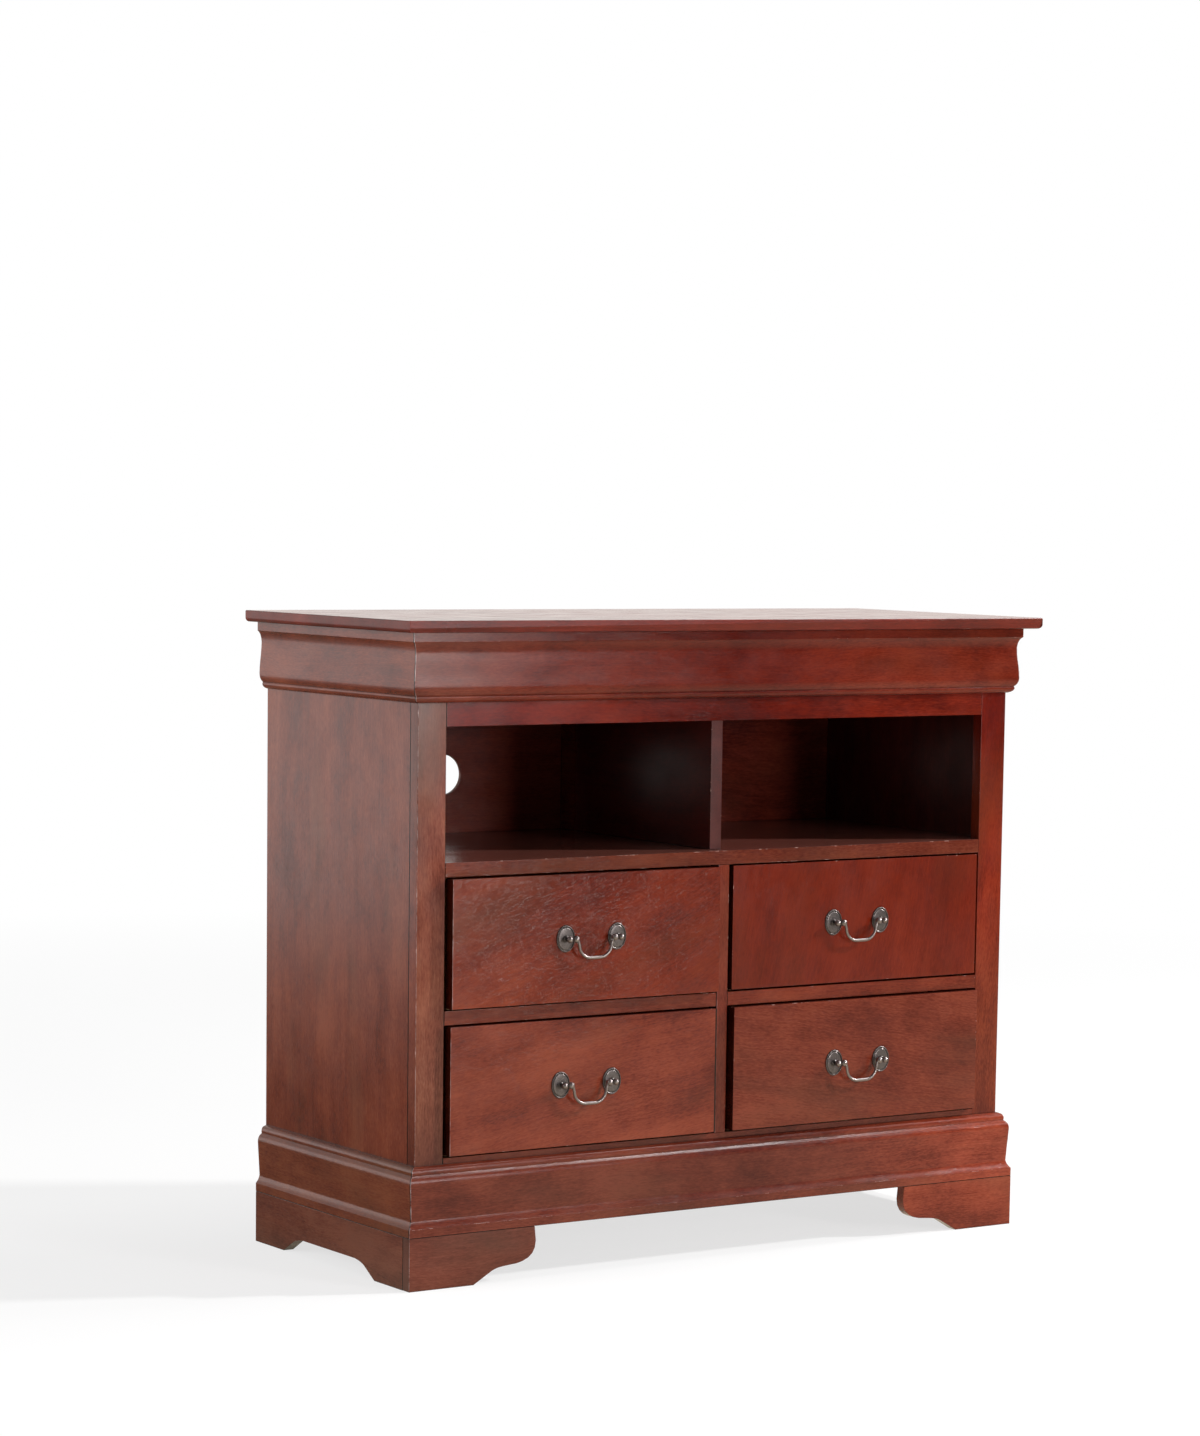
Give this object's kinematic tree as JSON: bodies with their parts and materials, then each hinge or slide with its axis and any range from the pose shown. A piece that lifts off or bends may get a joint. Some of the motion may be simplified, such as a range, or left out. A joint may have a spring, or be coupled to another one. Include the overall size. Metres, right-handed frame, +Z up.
{
  "type": "media chest",
  "caption": "Low wooden media chest: open cubbies under a moulded cornice, drawers with swinging bail pulls below, moulded plinth on bracket feet.",
  "frame": {"origin": "on the floor, in the middle of the top's width and depth", "axes": "+X to the right as seen from the front, +Y to the back, +Z up; the drawers open towards -Y"},
  "size_m": [1.067, 0.452, 0.896],
  "materials": {
    "case_wood": "dark cherry-red stain under satin lacquer, lightly worn on edges",
    "drawer_front_wood": "dark cherry-red veneer under satin lacquer",
    "drawer_box_wood": "plain pale hardwood, thinly sealed",
    "back_board": "dark stained thin board",
    "pewter": "antique pewter plating, satin, darker in the recesses"
  },
  "bodies": {
    "case": {"top_board": "case_wood", "cornice_front": "case_wood", "cornice_left": "case_wood", "cornice_right": "case_wood", "side_panel_left": "case_wood", "side_panel_right": "case_wood", "stile_left": "case_wood", "stile_right": "case_wood", "top_rail": "case_wood", "bottom_rail": "case_wood", "shelf_board": "case_wood", "cubby_partition": "case_wood", "centre_stile": "case_wood", "mid_rail_left": "case_wood", "mid_rail_right": "case_wood", "dust_panel": "back_board", "back_panel": "back_board", "plinth_front": "case_wood", "plinth_left": "case_wood", "plinth_right": "case_wood", "foot_front_left": "case_wood", "foot_front_right": "case_wood", "skirt_left": "case_wood", "skirt_right": "case_wood", "guide_upper_left": "drawer_box_wood", "guide_upper_right": "drawer_box_wood", "guide_lower_left": "drawer_box_wood", "guide_lower_right": "drawer_box_wood"},
    "drawer_upper_left": {"drawer_front_upper_left": "drawer_front_wood", "drawer_side_left_upper_left": "drawer_box_wood", "drawer_side_right_upper_left": "drawer_box_wood", "drawer_back_upper_left": "drawer_box_wood", "drawer_bottom_upper_left": "drawer_box_wood", "pull_post_left_upper_left": "pewter", "pull_post_right_upper_left": "pewter"},
    "drawer_upper_right": {"drawer_front_upper_right": "drawer_front_wood", "drawer_side_left_upper_right": "drawer_box_wood", "drawer_side_right_upper_right": "drawer_box_wood", "drawer_back_upper_right": "drawer_box_wood", "drawer_bottom_upper_right": "drawer_box_wood", "pull_post_left_upper_right": "pewter", "pull_post_right_upper_right": "pewter"},
    "drawer_lower_left": {"drawer_front_lower_left": "drawer_front_wood", "drawer_side_left_lower_left": "drawer_box_wood", "drawer_side_right_lower_left": "drawer_box_wood", "drawer_back_lower_left": "drawer_box_wood", "drawer_bottom_lower_left": "drawer_box_wood", "pull_post_left_lower_left": "pewter", "pull_post_right_lower_left": "pewter"},
    "drawer_lower_right": {"drawer_front_lower_right": "drawer_front_wood", "drawer_side_left_lower_right": "drawer_box_wood", "drawer_side_right_lower_right": "drawer_box_wood", "drawer_back_lower_right": "drawer_box_wood", "drawer_bottom_lower_right": "drawer_box_wood", "pull_post_left_lower_right": "pewter", "pull_post_right_lower_right": "pewter"},
    "bail_upper_left": {"pull_bail_upper_left": "pewter"},
    "bail_upper_right": {"pull_bail_upper_right": "pewter"},
    "bail_lower_left": {"pull_bail_lower_left": "pewter"},
    "bail_lower_right": {"pull_bail_lower_right": "pewter"}
  },
  "joints": [
    {"name": "drawer_upper_left_slide", "type": "slide", "parent": "case", "child": "drawer_upper_left", "axis": [0, -1, 0], "range_m": [-0.011, 0.29]},
    {"name": "drawer_upper_right_slide", "type": "slide", "parent": "case", "child": "drawer_upper_right", "axis": [0, -1, 0], "range_m": [-0.002, 0.299]},
    {"name": "drawer_lower_left_slide", "type": "slide", "parent": "case", "child": "drawer_lower_left", "axis": [0, -1, 0], "range_m": [-0.008, 0.293]},
    {"name": "drawer_lower_right_slide", "type": "slide", "parent": "case", "child": "drawer_lower_right", "axis": [0, -1, 0], "range_m": [-0.01, 0.291]},
    {"name": "bail_upper_left_hinge", "type": "hinge", "parent": "drawer_upper_left", "child": "bail_upper_left", "pos_m": [-0.22723, -0.2105, 0.463], "axis": [-1, 0, 0], "range_deg": [-15, 170]},
    {"name": "bail_upper_right_hinge", "type": "hinge", "parent": "drawer_upper_right", "child": "bail_upper_right", "pos_m": [0.23253, -0.2015, 0.463], "axis": [-1, 0, 0], "range_deg": [-15, 170]},
    {"name": "bail_lower_left_hinge", "type": "hinge", "parent": "drawer_lower_left", "child": "bail_lower_left", "pos_m": [-0.23073, -0.2075, 0.262], "axis": [-1, 0, 0], "range_deg": [-15, 170]},
    {"name": "bail_lower_right_hinge", "type": "hinge", "parent": "drawer_lower_right", "child": "bail_lower_right", "pos_m": [0.23253, -0.2095, 0.262], "axis": [-1, 0, 0], "range_deg": [-15, 170]}
  ]
}
